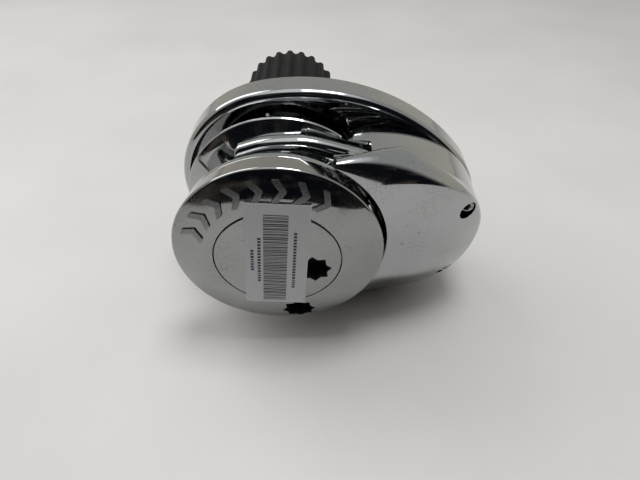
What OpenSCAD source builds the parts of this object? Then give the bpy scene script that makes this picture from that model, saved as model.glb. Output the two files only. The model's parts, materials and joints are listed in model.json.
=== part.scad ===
// Vertical anchor windlass head: chain wheel, clutch, deck plate, chain pipe cover and spacer tube.
// Z is the main shaft, up from the deck. The origin is on the shaft, at the deck face.

/* [Base plate] */
// Radius of the plate's round end, about the shaft
plate_r = 73; // [72:0.5:76]
// Radius of the plate's narrow end
tip_r = 64.4; // [62:0.2:66]
// Distance from the shaft to the middle of the narrow end
tip_x = 80; // [78:0.5:84]
// Radius of the plate's long sides
side_r = 146; // [140:1:160]
// Height of the plate's top face above the deck
plate_top = 21.7; // [20:0.1:24]
// Thickness of the deck gasket
gasket_t = 1.5; // [1:0.1:2]
// Radius of the plate's rounded top edge
plate_edge = 4.7; // [3:0.1:6]
// Distance from the shaft to the middle of the chain pipe
pipe_x = 98; // [97:0.5:100]
// Inner radius of the chain pipe
pipe_bore_r = 23.5; // [20:0.5:24]

/* [Chain wheel and clutch] */
// Outer radius of the chain wheel's lower flange
flange_r = 66; // [64:0.5:66]
// Height of the chain groove's middle
groove_z = 56; // [55:0.5:57]
// Number of chain pockets
pockets = 5; // [4:1:6]
// Outer radius of the cap ring
cap_r = 66.4; // [65:0.1:67]
// Radius of the clutch nut's disc
nut_r = 39.6; // [39:0.1:39.9]
// Height of the clutch nut's top face
nut_top = 97.3; // [97:0.1:98]
// Side of the squares that make a star socket
star_side = 16.3; // [12:0.1:17]

/* [Chain pipe cover] */
// Height of the cover's roof where it meets the cap ring
roof_z = 83; // [82:0.5:85]
// Height of the roof's edge round the low side and the narrow end
low_edge_z = 49; // [47:0.5:52]
// Radius of the lip around the cap ring
lip_r = 67.9; // [67:0.1:69]
// Wall thickness
shell_t = 3.5; // [3:0.1:4]
// Distance of the fixing screws from the middle of the narrow end
screw_circle_r = 56; // [55:0.5:56]

/* [Shaft and spacer tube] */
// Radius of the main shaft
shaft_r = 12.5; // [12:0.1:13]
// Length of the spacer tube below the base plate
tube_len = 117; // [60:1:160]
// Outer radius over the spacer tube's ribs
tube_r = 40.5; // [39:0.1:41]
// Number of ribs on the spacer tube
tube_ribs = 24; // [18:1:30]
// Length of the shaft below the spacer tube
shaft_tail = 48; // [30:1:60]
// Radius of that length, which the gearbox turns
tail_r = 12; // [11:0.1:12]

/* [Hidden] */
$fn = 96;

// Plate: the sides' centres, the floor of the recesses and the deck stud holes.
side_cx = (pow(side_r - plate_r, 2) - pow(side_r - tip_r, 2) + tip_x * tip_x) / (2 * tip_x);
side_cy = sqrt(pow(side_r - plate_r, 2) - side_cx * side_cx);
dish_r = 67.8;
dish_z = 12;
rim_w = 6.5;
land_edge = 0.6;
trough_first = 45;
trough_last = 111;
stud_r = 5;
stud_depth = 10.5;
stud_mid_x = 40;
stud_x = 62;
stud_y = 48;

// Bearing stack, from the bottom up.
pipe_spigot = 28;
spigot_z = -8;
spigot_r = 33.8;
bush_r = 17;
relief_r = 20;
bearing_z = 6;
bearing_h = 12;
bearing_r = 23.5;
race_r = 15.5;
ball_r = 3.4;
ball_ring_r = 19.3;
ball_count = 9;
race_t = 2.6;
boss_r = 34;
boss_top = 26;
seal_z = 20.6;
collar_r = 15.2;
collar_top = 20.2;
fit = 0.05;

// Clutch: both cones have the same slope, and the lower one points up.
cone_slope = 0.29;
lower_cone_z = 28;
lower_cone_top = 49.5;
lower_cone_r = 35;
upper_cone_z = 66.3;
upper_cone_top = 82;
upper_cone_r = 32.5;
cone_gap = 0.08;
web_bottom = 50;
web_top = 66;
wheel_top = 76.4;
hub_top = 84;
hub_r = 46;
ring_bore_r = 40.2;
thread_r = 11.9;
nut_bottom = 84.3;
key_w = 8;
key_out = 3;
socket_depth = 11;
star_turn = 20;
ring_star = [24.4, -46.9];
nut_star = [23.6, -1.7];
rise_arc_r = 64;
rim_arc_r = 2.2;
rim_arc_z = 89.6;
rim_arc_turn = 66;
dowel_r = 3;
dowel_in = 5.4;
mark_first = 73;
mark_step = 14;
mark_count = 8;
mark_r = 54.2;
mark_h = 1;

// Cover: the walls follow circles about one point, and the roof falls away from the cap ring.
wall_centre = [58, -48];
wall_circle_r = 116;
horn_circle_r = 124;
cover_inset = 1.2;
roof_slope = 0.0878;
roof_curve = 0.00461;
lip_drop = 7;
cover_first = -64;
cover_last = 75;
wall_last = 66;
cover_step = 3.475;
roof_points = 6;
edge_points = 5;
edge_r = 7;
mouth_edge_r = 24;
// Angle, extra distance and height of the head's seat for each cover screw.
screw_spots = [[50, 0, 54], [-24, 0, 46], [-79, 2.5, 46]];
screw_r = 3;
head_r = 5;
head_h = 6;

// Pressure arm: it turns on a pin inside the cover's wall.
arm_pivot = [42, 56];
arm_z = 47;
arm_h = 11;
arm_hub_r = 7.5;
arm_pin_r = 3.5;
arm_bush_r = 4.8;
slot_gap = 0.6;
slot_h = arm_h + 2 * slot_gap;
slot_r = 8.3;
slot_x = 15;
slot_w = 28;

// Stripper: a blade in the chain groove, on a post beside the chain pipe.
blade_h = 6;
stripper_post = [[66, -42], [75, -32]];

// Distance from the shaft, along angle a, to a circle's far side.
function ray_hit(a, c, r) = let (u = [cos(a), sin(a)], b = c * u) b + sqrt(b * b - c * c + r * r);
// Angle at which a side arc meets an end's circle.
function joint_angle(x, r, inset) =
    let (d = [x - side_cx, side_cy], p = [side_cx, -side_cy] + (side_r - inset) * d / norm(d))
    atan2(p[1], p[0]);
// Distance from the shaft to the plate's outline, moved inwards by inset.
function outline_r(a, inset) =
    abs(a) < joint_angle(tip_x, tip_r, inset) ? ray_hit(abs(a), [tip_x, 0], tip_r - inset)
    : abs(a) < joint_angle(0, plate_r, inset) ? ray_hit(abs(a), [side_cx, -side_cy], side_r - inset)
    : plate_r - inset;
function along(a, r) = r * [cos(a), sin(a)];

module outline(inset) {
    polygon([for (a = [-177:3:180]) along(a, outline_r(a, inset))]);
}

module tube(r_out, r_in, h) {
    difference() {
        cylinder(r = r_out, h = h);
        translate([0, 0, -1]) cylinder(r = r_in, h = h + 2);
    }
}

module at_studs() {
    for (x = [-stud_x, stud_x], y = [-stud_y, stud_y]) translate([stud_mid_x + x, y]) children();
}

module at_screws() {
    for (spot = screw_spots) {
        p = along(spot[0], screw_circle_r + spot[1]);
        $seat = spot[2];
        translate([tip_x + p[0], p[1]]) children();
    }
}

module at_dowels(z) {
    for (a = [45:90:315]) rotate(a) translate([54, 0, z]) children();
}

module star_2d() {
    for (turn = [0, 45]) rotate(star_turn + turn) square(star_side, center = true);
}

// ---- Base ----

// Distance from the shaft to the cover's wall and to the lip above it.
function wall_r(a) = min(outline_r(a, cover_inset), ray_hit(a, wall_centre, wall_circle_r));
function horn_r(a) = min(outline_r(a, cover_inset), ray_hit(a, wall_centre, horn_circle_r));

module base_plate() {
    color("silver") difference() {
        union() {
            hull() {
                translate([0, 0, gasket_t]) linear_extrude(plate_top - plate_edge - gasket_t) outline(0);
                for (a = [30, 60, 90])
                    translate([0, 0, plate_top - plate_edge * (1 - sin(a)) - 0.02])
                        linear_extrude(0.02) outline(plate_edge * (1 - cos(a)));
            }
            translate([0, 0, spigot_z]) cylinder(r = spigot_r, h = gasket_t - spigot_z + 1);
        }
        difference() {
            translate([0, 0, dish_z]) cylinder(r = dish_r, h = plate_top);
            cylinder(r = boss_r, h = boss_top);
        }
        // The trough between the rim and the cover's wall.
        translate([0, 0, dish_z]) linear_extrude(plate_top) polygon(concat(
            [for (a = [trough_first:3:trough_last]) along(a, outline_r(a, rim_w))],
            [for (a = [trough_last:-3:trough_first]) along(a, wall_r(a) + land_edge)]));
        translate([0, 0, spigot_z - 1]) cylinder(r = bush_r, h = 20);
        translate([0, 0, 2]) cylinder(r = relief_r, h = 20);
        translate([0, 0, bearing_z]) cylinder(r = bearing_r, h = 30);
        translate([0, 0, bearing_z + bearing_h + 0.2]) cylinder(r = bearing_r + 1.3, h = 1.5);
        translate([pipe_x, 0, -1]) cylinder(r = pipe_bore_r + 3.5, h = 40);
        translate([pipe_x, 0, plate_top - 2]) cylinder(r = pipe_bore_r + 6, h = 5);
        at_studs() cylinder(r = stud_r, h = stud_depth);
        at_screws() translate([0, 0, 7]) cylinder(r = screw_r, h = 20);
        translate([arm_pivot[0], arm_pivot[1], 6]) cylinder(r = arm_pin_r, h = 20);
        for (p = stripper_post) translate([p[0], p[1], 8]) cylinder(r = screw_r, h = 20);
    }
}

module deck_gasket() {
    color("dimgray") difference() {
        linear_extrude(gasket_t) outline(2);
        translate([0, 0, -1]) cylinder(r = tube_r + 1, h = 4);
        translate([pipe_x, 0, -1]) cylinder(r = pipe_bore_r + 4, h = 4);
        translate([0, 0, -1]) at_studs() cylinder(r = stud_r + 0.5, h = 4);
    }
}

module spacer_tube() {
    core_r = tube_r - 3.2;
    rib_r = 3.2;
    color("#202224") translate([0, 0, -tube_len]) difference() {
        union() {
            cylinder(r = core_r, h = tube_len + gasket_t);
            for (i = [0:tube_ribs - 1])
                rotate(360 / tube_ribs * i) translate([core_r, 0])
                    cylinder(r = rib_r, h = tube_len + gasket_t, $fn = 24);
        }
        translate([0, 0, -1]) cylinder(r = spigot_r + fit, h = tube_len + 5);
    }
}

module chain_pipe() {
    color("#303234") translate([pipe_x, 0, 0]) difference() {
        union() {
            translate([0, 0, -pipe_spigot]) cylinder(r = pipe_bore_r + 3, h = pipe_spigot);
            cylinder(r = pipe_bore_r + 3.5, h = plate_top);
            translate([0, 0, plate_top - 2]) cylinder(r = pipe_bore_r + 6, h = 2);
        }
        translate([0, 0, -pipe_spigot - 1]) cylinder(r = pipe_bore_r, h = 60);
    }
}

module lower_bush() {
    color("goldenrod") translate([0, 0, spigot_z]) tube(bush_r, shaft_r + fit, 10);
}

// ---- Bearing ----

module race_groove() {
    translate([0, 0, bearing_z + bearing_h / 2])
        rotate_extrude() translate([ball_ring_r, 0]) circle(r = ball_r + fit, $fn = 32);
}

module bearing_outer_race() {
    color("lightsteelblue") difference() {
        translate([0, 0, bearing_z]) tube(bearing_r, bearing_r - race_t, bearing_h);
        race_groove();
    }
}

module bearing_inner_race() {
    color("lightsteelblue") difference() {
        translate([0, 0, bearing_z]) tube(race_r + 2.2, shaft_r, bearing_h);
        race_groove();
    }
}

module bearing_balls() {
    color("gainsboro") for (i = [0:ball_count - 1])
        rotate(360 / ball_count * i) translate([ball_ring_r, 0, bearing_z + bearing_h / 2])
            sphere(r = ball_r, $fn = 32);
}

module bearing_circlip() {
    color("dimgray") translate([0, 0, bearing_z + bearing_h + 0.2]) difference() {
        tube(bearing_r + 1.3, bearing_r - 3, 1.5);
        translate([0, -4, -1]) cube([40, 8, 4]);
    }
}

module oil_seal() {
    color("#151515") translate([0, 0, seal_z]) difference() {
        tube(bearing_r, collar_r + fit, boss_top - seal_z);
        translate([0, 0, -1]) tube(bearing_r - 2.4, collar_r + 2.2, 4);
    }
}

// ---- Shaft ----

module keyway(z, h) {
    translate([shaft_r - key_out, -key_w / 2, z]) cube([key_out + key_out, key_w, h]);
}

module mainshaft() {
    tail_z = -tube_len - shaft_tail;
    color("lightgray") difference() {
        union() {
            translate([0, 0, tail_z]) cylinder(r1 = tail_r - 1.5, r2 = tail_r, h = 1.5);
            translate([0, 0, tail_z + 1.5]) cylinder(r = tail_r, h = shaft_tail - 1.5);
            translate([0, 0, -tube_len]) cylinder(r = shaft_r, h = nut_bottom - 0.2 + tube_len);
            translate([0, 0, bearing_z + bearing_h]) cylinder(r = collar_r, h = collar_top - bearing_z - bearing_h);
            translate([0, 0, upper_cone_top]) cylinder(r = thread_r, h = nut_top - upper_cone_top - 4);
        }
        keyway(tail_z + 4, 36);
        keyway(lower_cone_z + 2, 18);
        keyway(upper_cone_z + 1.7, 13);
        translate([0, 0, 4.4]) tube(shaft_r + 2, shaft_r - 1, 1.4);
    }
}

module key_block(z, h) {
    color("slategray") translate([shaft_r - key_out, -key_w / 2, z]) cube([2 * key_out, key_w, h]);
}

module shaft_sleeve() {
    color("lightgray") translate([0, 0, collar_top]) tube(collar_r, shaft_r, lower_cone_z - collar_top);
}

module lower_cone_key() {
    key_block(lower_cone_z + 2, 18);
}

module upper_cone_key() {
    key_block(upper_cone_z + 1.7, 13);
}

module shaft_circlip() {
    color("dimgray") translate([0, 0, 4.4]) difference() {
        tube(shaft_r + 3, shaft_r - 1, 1.4);
        translate([0, -3, -1]) cube([40, 6, 4]);
    }
}

// ---- Clutch and chain wheel ----

module lower_clutch_cone() {
    h = lower_cone_top - lower_cone_z;
    color("#8f9296") difference() {
        translate([0, 0, lower_cone_z]) rotate_extrude() polygon([
            [shaft_r + 0.01, 0], [lower_cone_r + 2.2, 0], [lower_cone_r + 2.2, 2.6],
            [lower_cone_r - cone_slope * 3, 3], [lower_cone_r - cone_slope * h, h], [shaft_r + 0.01, h]]);
        translate([shaft_r - 1, -key_w / 2, lower_cone_z - 1]) cube([key_out + 1, key_w, h + 2]);
    }
}

module upper_clutch_cone() {
    h = upper_cone_top - upper_cone_z;
    color("#8f9296") difference() {
        translate([0, 0, upper_cone_z]) rotate_extrude() polygon([
            [shaft_r + fit, 0], [upper_cone_r, 0], [upper_cone_r + cone_slope * h, h], [shaft_r + fit, h]]);
        translate([shaft_r - 1, -key_w / 2 - fit, upper_cone_z - 1])
            cube([key_out + 1 + fit, key_w + 2 * fit, h + 2]);
    }
}

// One chain pocket: the flat link's bed, cut into both flanks.
module pocket() {
    translate([35.5, 0, groove_z]) rotate([0, 90, 0]) linear_extrude(30) {
        square([12, 33], center = true);
        square([26, 19], center = true);
        for (z = [-6, 6], y = [-9.5, 9.5]) translate([z, y]) circle(r = 7, $fn = 24);
    }
}

module chain_wheel() {
    low = lower_cone_z + 0.6;
    lower_seat_h = web_bottom - low;
    seat_r = lower_cone_r + cone_gap - cone_slope * (low - lower_cone_z);
    top_seat_r = upper_cone_r + cone_gap;
    color("silver") difference() {
        rotate_extrude() polygon([
            [shaft_r + 3, web_bottom], [seat_r - cone_slope * lower_seat_h, web_bottom],
            [seat_r - cone_slope * 3, low + 3], [lower_cone_r + 3, low + 2.4], [lower_cone_r + 3, low - 1],
            [52, low - 1.6], [flange_r - 2.5, 35.2], [flange_r - 0.3, 37.3], [flange_r, 37.9],
            [flange_r - 0.7, 39.2], [42, groove_z - 5.5], [34.5, groove_z - 5],
            [34.5, groove_z + 5], [42, groove_z + 5.5], [60.6, 70.2], [62.8, 72], [63.4, 73.8],
            [63.4, wheel_top - 0.1], [hub_r, wheel_top - 0.1], [hub_r, hub_top],
            [top_seat_r + cone_slope * (hub_top - web_top), hub_top], [top_seat_r, web_top],
            [shaft_r + 3, web_top]]);
        for (i = [0:pockets - 1]) rotate(360 / pockets * i + 150) pocket();
        at_dowels(wheel_top - dowel_in) cylinder(r = dowel_r, h = 9);
    }
}

module wheel_bush() {
    color("goldenrod") translate([0, 0, web_bottom]) tube(shaft_r + 3, shaft_r + fit, web_top - web_bottom);
}

// Radius-height points of the cap ring's outer face, from the side wall up to the bore.
rim_arc = [cap_r - rim_arc_r, rim_arc_z];
rise_arc = rim_arc + (rim_arc_r - rise_arc_r) * [cos(rim_arc_turn), sin(rim_arc_turn)];
function cap_face(extra) = concat(
    [for (a = [-4:12:rim_arc_turn]) rim_arc + (rim_arc_r + extra) * [cos(a), sin(a)]],
    [for (a = [rim_arc_turn:2.5:88]) rise_arc + (rise_arc_r + extra) * [cos(a), sin(a)]]);

// Raised chevrons that point the way the clutch tightens, following the ring's face.
module cap_marks() {
    intersection() {
        rotate_extrude() polygon(concat(cap_face(mark_h), [[30, 86]]));
        for (i = [0:mark_count - 1]) rotate(mark_first + mark_step * i) translate([mark_r, 0, 80])
            linear_extrude(20) polygon([[-6.6, 4.4], [-6.6, 0], [0, -5], [6.6, 0], [6.6, 4.4], [0, -0.6]]);
    }
}

module cap_ring() {
    color("silver") difference() {
        union() {
            rotate_extrude() intersection() {
                polygon(concat([[ring_bore_r, wheel_top], [cap_r - 2.5, wheel_top]], cap_face(0),
                    [[ring_bore_r, 97]]));
                translate([ring_bore_r, 0]) square(200);
            }
            cap_marks();
        }
        translate([0, 0, wheel_top - 1]) cylinder(r = hub_r, h = hub_top - wheel_top + 1);
        at_dowels(wheel_top - 1) cylinder(r = dowel_r, h = 9);
        translate([ring_star[0], ring_star[1], 96 - socket_depth - 4]) linear_extrude(30) star_2d();
    }
}

module cap_dowels() {
    color("dimgray") at_dowels(wheel_top - dowel_in) cylinder(r = dowel_r, h = dowel_in + 7.9);
}

module nut_washer() {
    color("#9a9da0") translate([0, 0, upper_cone_top]) tube(26, shaft_r + 0.3, nut_bottom - upper_cone_top - 0.1);
}

module clutch_nut() {
    color("gainsboro") difference() {
        translate([0, 0, nut_bottom]) rotate_extrude() polygon([
            [0, 0], [nut_r - 1, 0], [nut_r, 1], [nut_r, nut_top - nut_bottom - 0.6],
            [nut_r - 0.6, nut_top - nut_bottom - 0.1], [nut_r / 2, nut_top - nut_bottom + 0.2],
            [0, nut_top - nut_bottom + 0.3]]);
        translate([0, 0, nut_bottom - 1]) cylinder(r = thread_r + fit, h = nut_top - nut_bottom - 2);
        translate([nut_star[0], nut_star[1], nut_top - socket_depth]) linear_extrude(20) star_2d();
    }
}

// ---- Chain pipe cover ----

function share(a, from, to) = min(1, max(0, (a - from) / (to - from)));
// At angle a: the roof's height at the lip and how far it falls to its edge, and the straight share of that fall.
function lip_z(a) = roof_z - lip_drop * share(a, -20, -64);
function fall(a) =
    let (w = horn_r(a) - lip_r, arm_side = roof_z - w * (roof_slope + roof_curve * w))
    lip_z(a) - low_edge_z - share(a, -2, 14) * (arm_side - low_edge_z);
function straight(a) = let (q = roof_slope * (horn_r(a) - lip_r) / fall(a)) q + (1 - q) * share(a, -6, -24);
function across(a, r) = (r - lip_r) / (horn_r(a) - lip_r);
function roof_at(a, r) =
    let (t = across(a, r), q = straight(a)) lip_z(a) - fall(a) * t * (q + (1 - q) * t);
function roof_lean(a, r) =
    let (q = straight(a)) atan(fall(a) / (horn_r(a) - lip_r) * (q + 2 * (1 - q) * across(a, r)));
function edge_at(a) =
    min(edge_r + (mouth_edge_r - edge_r) * share(a, 25, 58), 0.8 * (horn_r(a) - lip_r));
// Closed outline of the cover's wall and roof at angle a, as radius and height.
function cover_section(a) =
    let (
        width = horn_r(a) - lip_r,
        wall = max(wall_r(a), lip_r + 0.3 * width),
        wall_in = max(wall - shell_t, lip_r + 0.15 * width),
        e = edge_at(a),
        s = roof_lean(a, horn_r(a) - e),
        r0 = horn_r(a) - e + e * sin(s),
        c = [horn_r(a) - e, roof_at(a, r0) - e * cos(s)],
        under = horn_r(a) - wall,
        foot = a > wall_last ? c[1] - 9.5 : plate_top,
        e_in = max(0.5, e - shell_t),
        start = lip_r + 1.6,
        top = lip_z(a),
        inner_start = lip_r + min(0.6 * shell_t, 0.1 * width)
    )
    concat(
        [[lip_r, top - 5], [lip_r, top - 1.8], [lip_r + 0.5, top - 0.9]],
        [for (i = [0:roof_points - 1]) let (r = start + (r0 - start) * i / roof_points) [r, roof_at(a, r)]],
        [for (i = [0:edge_points]) let (f = s + (90 - s) * i / edge_points) c + e * [sin(f), cos(f)]],
        [[horn_r(a) - 0.25 * under, c[1] - 4], [wall + 0.15 * under, c[1] - 7],
            [wall, c[1] - 9], [wall, foot], [wall_in, foot], [wall_in, c[1] - 9],
            [max(c[0], horn_r(a) - shell_t - 0.4 * under), c[1] - 2]],
        [for (i = [2:-1:0]) let (f = s + (90 - s) * i / 3) c + [e_in * sin(f), e_in * cos(f) - 0.4]],
        [for (i = [2:-1:1]) let (r = inner_start + (c[0] - inner_start) * i / 3) [r, roof_at(a, r) - shell_t]],
        [[inner_start, min(roof_at(a, inner_start) - shell_t, top - 4.6)], [inner_start, top - 5]]
    );

module cover_shell() {
    angles = concat([for (a = [cover_first:cover_step:wall_last - 1]) a],
        [wall_last, wall_last + 0.3, 69, 72, cover_last]);
    sections = [for (a = angles) [for (p = cover_section(a)) [p[0] * cos(a), p[0] * sin(a), p[1]]]];
    n = len(sections[0]);
    last = len(angles) - 1;
    polyhedron(
        points = [for (s = sections) each s],
        faces = concat(
            [[for (i = [0:n - 1]) i]],
            [[for (i = [n - 1:-1:0]) last * n + i]],
            [for (k = [0:last - 1], i = [0:n - 1]) let (j = (i + 1) % n)
                each [[k * n + j, k * n + i, (k + 1) * n + i], [k * n + j, (k + 1) * n + i, (k + 1) * n + j]]]));
}

module chain_pipe_cover() {
    color("silver") difference() {
        union() {
            cover_shell();
            at_screws() translate([0, 0, plate_top]) cylinder(r = 7, h = $seat - plate_top, $fn = 32);
        }
        at_screws() translate([0, 0, $seat - 2]) cylinder(r = head_r + 0.9, h = 60, $fn = 32);
        at_screws() translate([0, 0, plate_top - 1]) cylinder(r = screw_r + 0.3, h = 60, $fn = 32);
        // The slot that the pressure arm comes out of.
        translate([0, 0, arm_z - slot_gap]) {
            translate([slot_x, arm_pivot[1] - slot_r]) cube([arm_pivot[0] - slot_x, slot_w, slot_h]);
            translate(arm_pivot) cylinder(r = slot_r, h = slot_h);
        }
    }
}

module cover_screws() {
    color("gray") at_screws() difference() {
        union() {
            translate([0, 0, 8]) cylinder(r = screw_r, h = $seat - 8);
            translate([0, 0, $seat]) cylinder(r = head_r, h = head_h);
        }
        translate([0, 0, $seat + 2.5]) cylinder(r = 2.9, h = 10, $fn = 6);
    }
}

module cover_washers() {
    color("darkgray") at_screws() translate([0, 0, $seat - 2]) tube(5.6, screw_r, 2);
}

// ---- Pressure arm ----

module arm_2d() {
    tip = [-33.5, 44.5];
    difference() {
        union() {
            hull() {
                translate(tip) circle(r = 4.6);
                translate([-22, 51.5]) circle(r = 4.6);
            }
            hull() {
                translate([-22, 51.5]) circle(r = 4.6);
                translate([-8, 56]) circle(r = 5.2);
            }
            hull() {
                translate([-8, 56]) circle(r = 5.2);
                translate([8, 58.6]) circle(r = 5.8);
            }
            hull() {
                translate([8, 58.6]) circle(r = 5.8);
                translate(arm_pivot) circle(r = arm_hub_r);
            }
        }
        translate(arm_pivot) circle(r = arm_bush_r);
    }
}

module pressure_arm() {
    color("silver") translate([0, 0, arm_z]) linear_extrude(arm_h) arm_2d();
}

module arm_bush() {
    color("goldenrod") translate([arm_pivot[0], arm_pivot[1], arm_z]) tube(arm_bush_r, arm_pin_r + fit, arm_h);
}

module arm_pin() {
    color("lightgray") translate([arm_pivot[0], arm_pivot[1], 6]) difference() {
        union() {
            cylinder(r = arm_pin_r, h = 64);
            translate([0, 0, arm_z - 6 - 2.2]) cylinder(r = 5, h = 2);
        }
        translate([0, 0, 61]) tube(arm_pin_r + 1, arm_pin_r - 0.7, 1.1);
    }
}

module arm_spring() {
    wire_r = 0.9;
    color("dimgray") translate([arm_pivot[0], arm_pivot[1], arm_z + arm_h + 0.4]) {
        for (i = [0:3]) translate([0, 0, wire_r + i * 1.7 * wire_r])
            rotate_extrude() translate([5.4, 0]) circle(r = wire_r, $fn = 24);
        translate([-14, -6.3, 0]) cube([14, 1.8, 1.8]);
    }
}

module arm_circlip() {
    color("dimgray") translate([arm_pivot[0], arm_pivot[1], 67]) difference() {
        tube(arm_pin_r + 2, arm_pin_r - 0.7, 1);
        translate([0, -2, -1]) cube([10, 4, 4]);
    }
}

// ---- Chain stripper ----

module chain_stripper() {
    blade_z = groove_z - blade_h / 2;
    color("#a8abae") difference() {
        union() {
            translate([0, 0, blade_z]) linear_extrude(blade_h) polygon(concat(
                [for (a = [-16:4:32]) along(a, 37)],
                [[44, 28], [54, 10], [60, -8], [79, -24], [80, -34], [68, -48], [58, -42], [46, -18]]));
            for (p = stripper_post)
                translate([p[0], p[1], plate_top]) cylinder(r = 6.8, h = blade_z - plate_top + blade_h);
        }
        for (p = stripper_post) translate([p[0], p[1], 0]) {
            cylinder(r = screw_r + 0.2, h = 80);
            translate([0, 0, groove_z]) cylinder(r = head_r + 0.2, h = 20);
        }
    }
}

module stripper_screws() {
    color("gray") for (p = stripper_post) translate([p[0], p[1], 0]) difference() {
        union() {
            translate([0, 0, 9]) cylinder(r = screw_r, h = groove_z - 9);
            translate([0, 0, groove_z]) cylinder(r = head_r, h = head_h);
        }
        translate([0, 0, groove_z + 2.5]) cylinder(r = 2.9, h = 10, $fn = 6);
    }
}

base_plate();
deck_gasket();
spacer_tube();
chain_pipe();
lower_bush();
bearing_outer_race();
bearing_balls();
bearing_inner_race();
bearing_circlip();
oil_seal();
mainshaft();
shaft_circlip();
shaft_sleeve();
lower_cone_key();
upper_cone_key();
lower_clutch_cone();
chain_wheel();
wheel_bush();
cap_ring();
cap_dowels();
upper_clutch_cone();
nut_washer();
clutch_nut();
chain_pipe_cover();
cover_screws();
cover_washers();
pressure_arm();
arm_pin();
arm_bush();
arm_spring();
arm_circlip();
chain_stripper();
stripper_screws();
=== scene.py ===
"""Vertical anchor windlass head, lying on its side on a pale table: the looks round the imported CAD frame.

Shapes are made in millimetres in the row frame (Z is the main shaft, the origin is on it at the deck face),
and MM turns them into metres."""

import json
import math

import bmesh
import bpy
from mathutils import Matrix, Vector

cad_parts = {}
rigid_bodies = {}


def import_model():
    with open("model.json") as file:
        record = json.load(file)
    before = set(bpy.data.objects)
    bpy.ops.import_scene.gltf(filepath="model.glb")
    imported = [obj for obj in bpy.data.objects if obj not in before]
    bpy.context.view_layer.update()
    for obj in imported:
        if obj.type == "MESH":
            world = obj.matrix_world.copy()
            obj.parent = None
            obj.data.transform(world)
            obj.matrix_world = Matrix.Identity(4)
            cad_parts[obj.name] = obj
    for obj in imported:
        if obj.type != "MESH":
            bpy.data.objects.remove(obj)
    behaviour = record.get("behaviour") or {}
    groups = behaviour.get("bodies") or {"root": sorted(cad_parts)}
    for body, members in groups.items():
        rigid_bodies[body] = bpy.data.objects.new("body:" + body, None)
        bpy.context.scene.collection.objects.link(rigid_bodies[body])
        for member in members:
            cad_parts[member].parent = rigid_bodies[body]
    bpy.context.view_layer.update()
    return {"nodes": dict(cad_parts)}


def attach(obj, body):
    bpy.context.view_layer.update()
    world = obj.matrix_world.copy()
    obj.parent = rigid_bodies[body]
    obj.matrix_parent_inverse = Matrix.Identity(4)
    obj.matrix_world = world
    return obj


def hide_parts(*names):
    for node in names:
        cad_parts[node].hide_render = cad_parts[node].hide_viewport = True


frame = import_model()

MM = 0.001
TURN = 2 * math.pi

# ---- Sizes, in millimetres ----

PLATE_R, TIP_R, TIP_X, SIDE_R = 73.0, 64.4, 80.0, 146.0
PLATE_TOP = 21.7
PLATE_EDGE = 4.7
GASKET_T = 1.5
DISH_R, DISH_Z = 67.8, 12.0
BOSS_R = 34.0
RIM_W = 6.5
TROUGH = (45, 111)
ABOVE_PLATE = 30
BUSH_SEAT_R, RACE_SHOULDER_R, RACE_SEAT_R = 17, 20, 23.5
PIPE_X, PIPE_BORE_R, PIPE_SPIGOT = 98.0, 23.5, 28.0
PIPE_WALL, PIPE_COLLAR, PIPE_COLLAR_H = 3.5, 2.5, 2.0
STUD_R, STUD_DEPTH = 5.0, 10.5
STUDS = [(40 + x, y) for x in (-62, 62) for y in (-48, 48)]

WALL_CENTRE, WALL_CIRCLE_R, HORN_CIRCLE_R = (58, -48), 116.0, 124.0
COVER_INSET = 1.2
COVER_FIRST, COVER_LAST, WALL_LAST = -64, 75, 66
LIP_R, ROOF_Z, LOW_EDGE_Z, LIP_DROP = 67.9, 83.0, 49.0, 7.0
ROOF_SLOPE, ROOF_CURVE = 0.0878, 0.00461
SHELL_T = 3.5
EDGE_R, MOUTH_EDGE_R = 7.0, 24.0
COVER_SCREWS = [
    (TIP_X + r * math.cos(math.radians(a)), r * math.sin(math.radians(a)))
    for a, r in ((50, 56), (-24, 56), (-79, 58.5))
]
COVER_SEATS = [54.0, 46.0, 46.0]
COLUMN_R, HEAD_WELL_R, SHANK_WELL_R, WASHER_T = 7.0, 5.9, 3.3, 2.0
SCREW_R, HEAD_R, HEAD_H, HEXAGON_R, HEXAGON_FLOOR = 3.0, 5.0, 6.0, 2.9, 2.5
SCREW_FOOT, BLADE_SCREW_FOOT, PIN_FOOT = 8, 9, 6

TUBE_R, TUBE_LEN, TUBE_RIBS, RIB_R = 40.5, 117.0, 24, 3.2
TUBE_BORE_R = 33.85

WHEEL_LOW, WHEEL_TOP, HUB_TOP, HUB_R = 28.6, 76.3, 84.0, 46.0
WEB_LOW, WEB_TOP, WEB_R = 50, 66, 15.5
CONE_SLOPE, LOW_SEAT_R, TOP_SEAT_R = 0.29, 34.906, 32.58
GROOVE_Z, GROOVE_R = 56.0, 34.5
POCKETS, POCKET_FIRST, POCKET_L, POCKET_W = 5, 150, 33, 26
CAP_RIM_R, CAP_RIM_Z, CAP_RIM_ARC = 64.2, 89.6, 2.2
CAP_RISE_ARC, CAP_RIM_TURN = 64.0, 66
CAP_BORE_R = 40.2
RING_STAR, NUT_STAR = (24.4, -46.9), (23.6, -1.7)
STAR_SIDE, STAR_TURN, STAR_REACH = 16.3, 20, 11.55
RING_SOCKET_Z, NUT_SOCKET_DEPTH, NUT_CAVITY_R, NUT_DISC_T = 81, 11, 11.95, 3
NUT_R, NUT_TOP, NUT_BOTTOM = 39.6, 97.3, 84.3
MARK_FIRST, MARK_STEP, MARKS, MARK_R, MARK_H = 73, 14, 8, 54.2, 1.0

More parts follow.
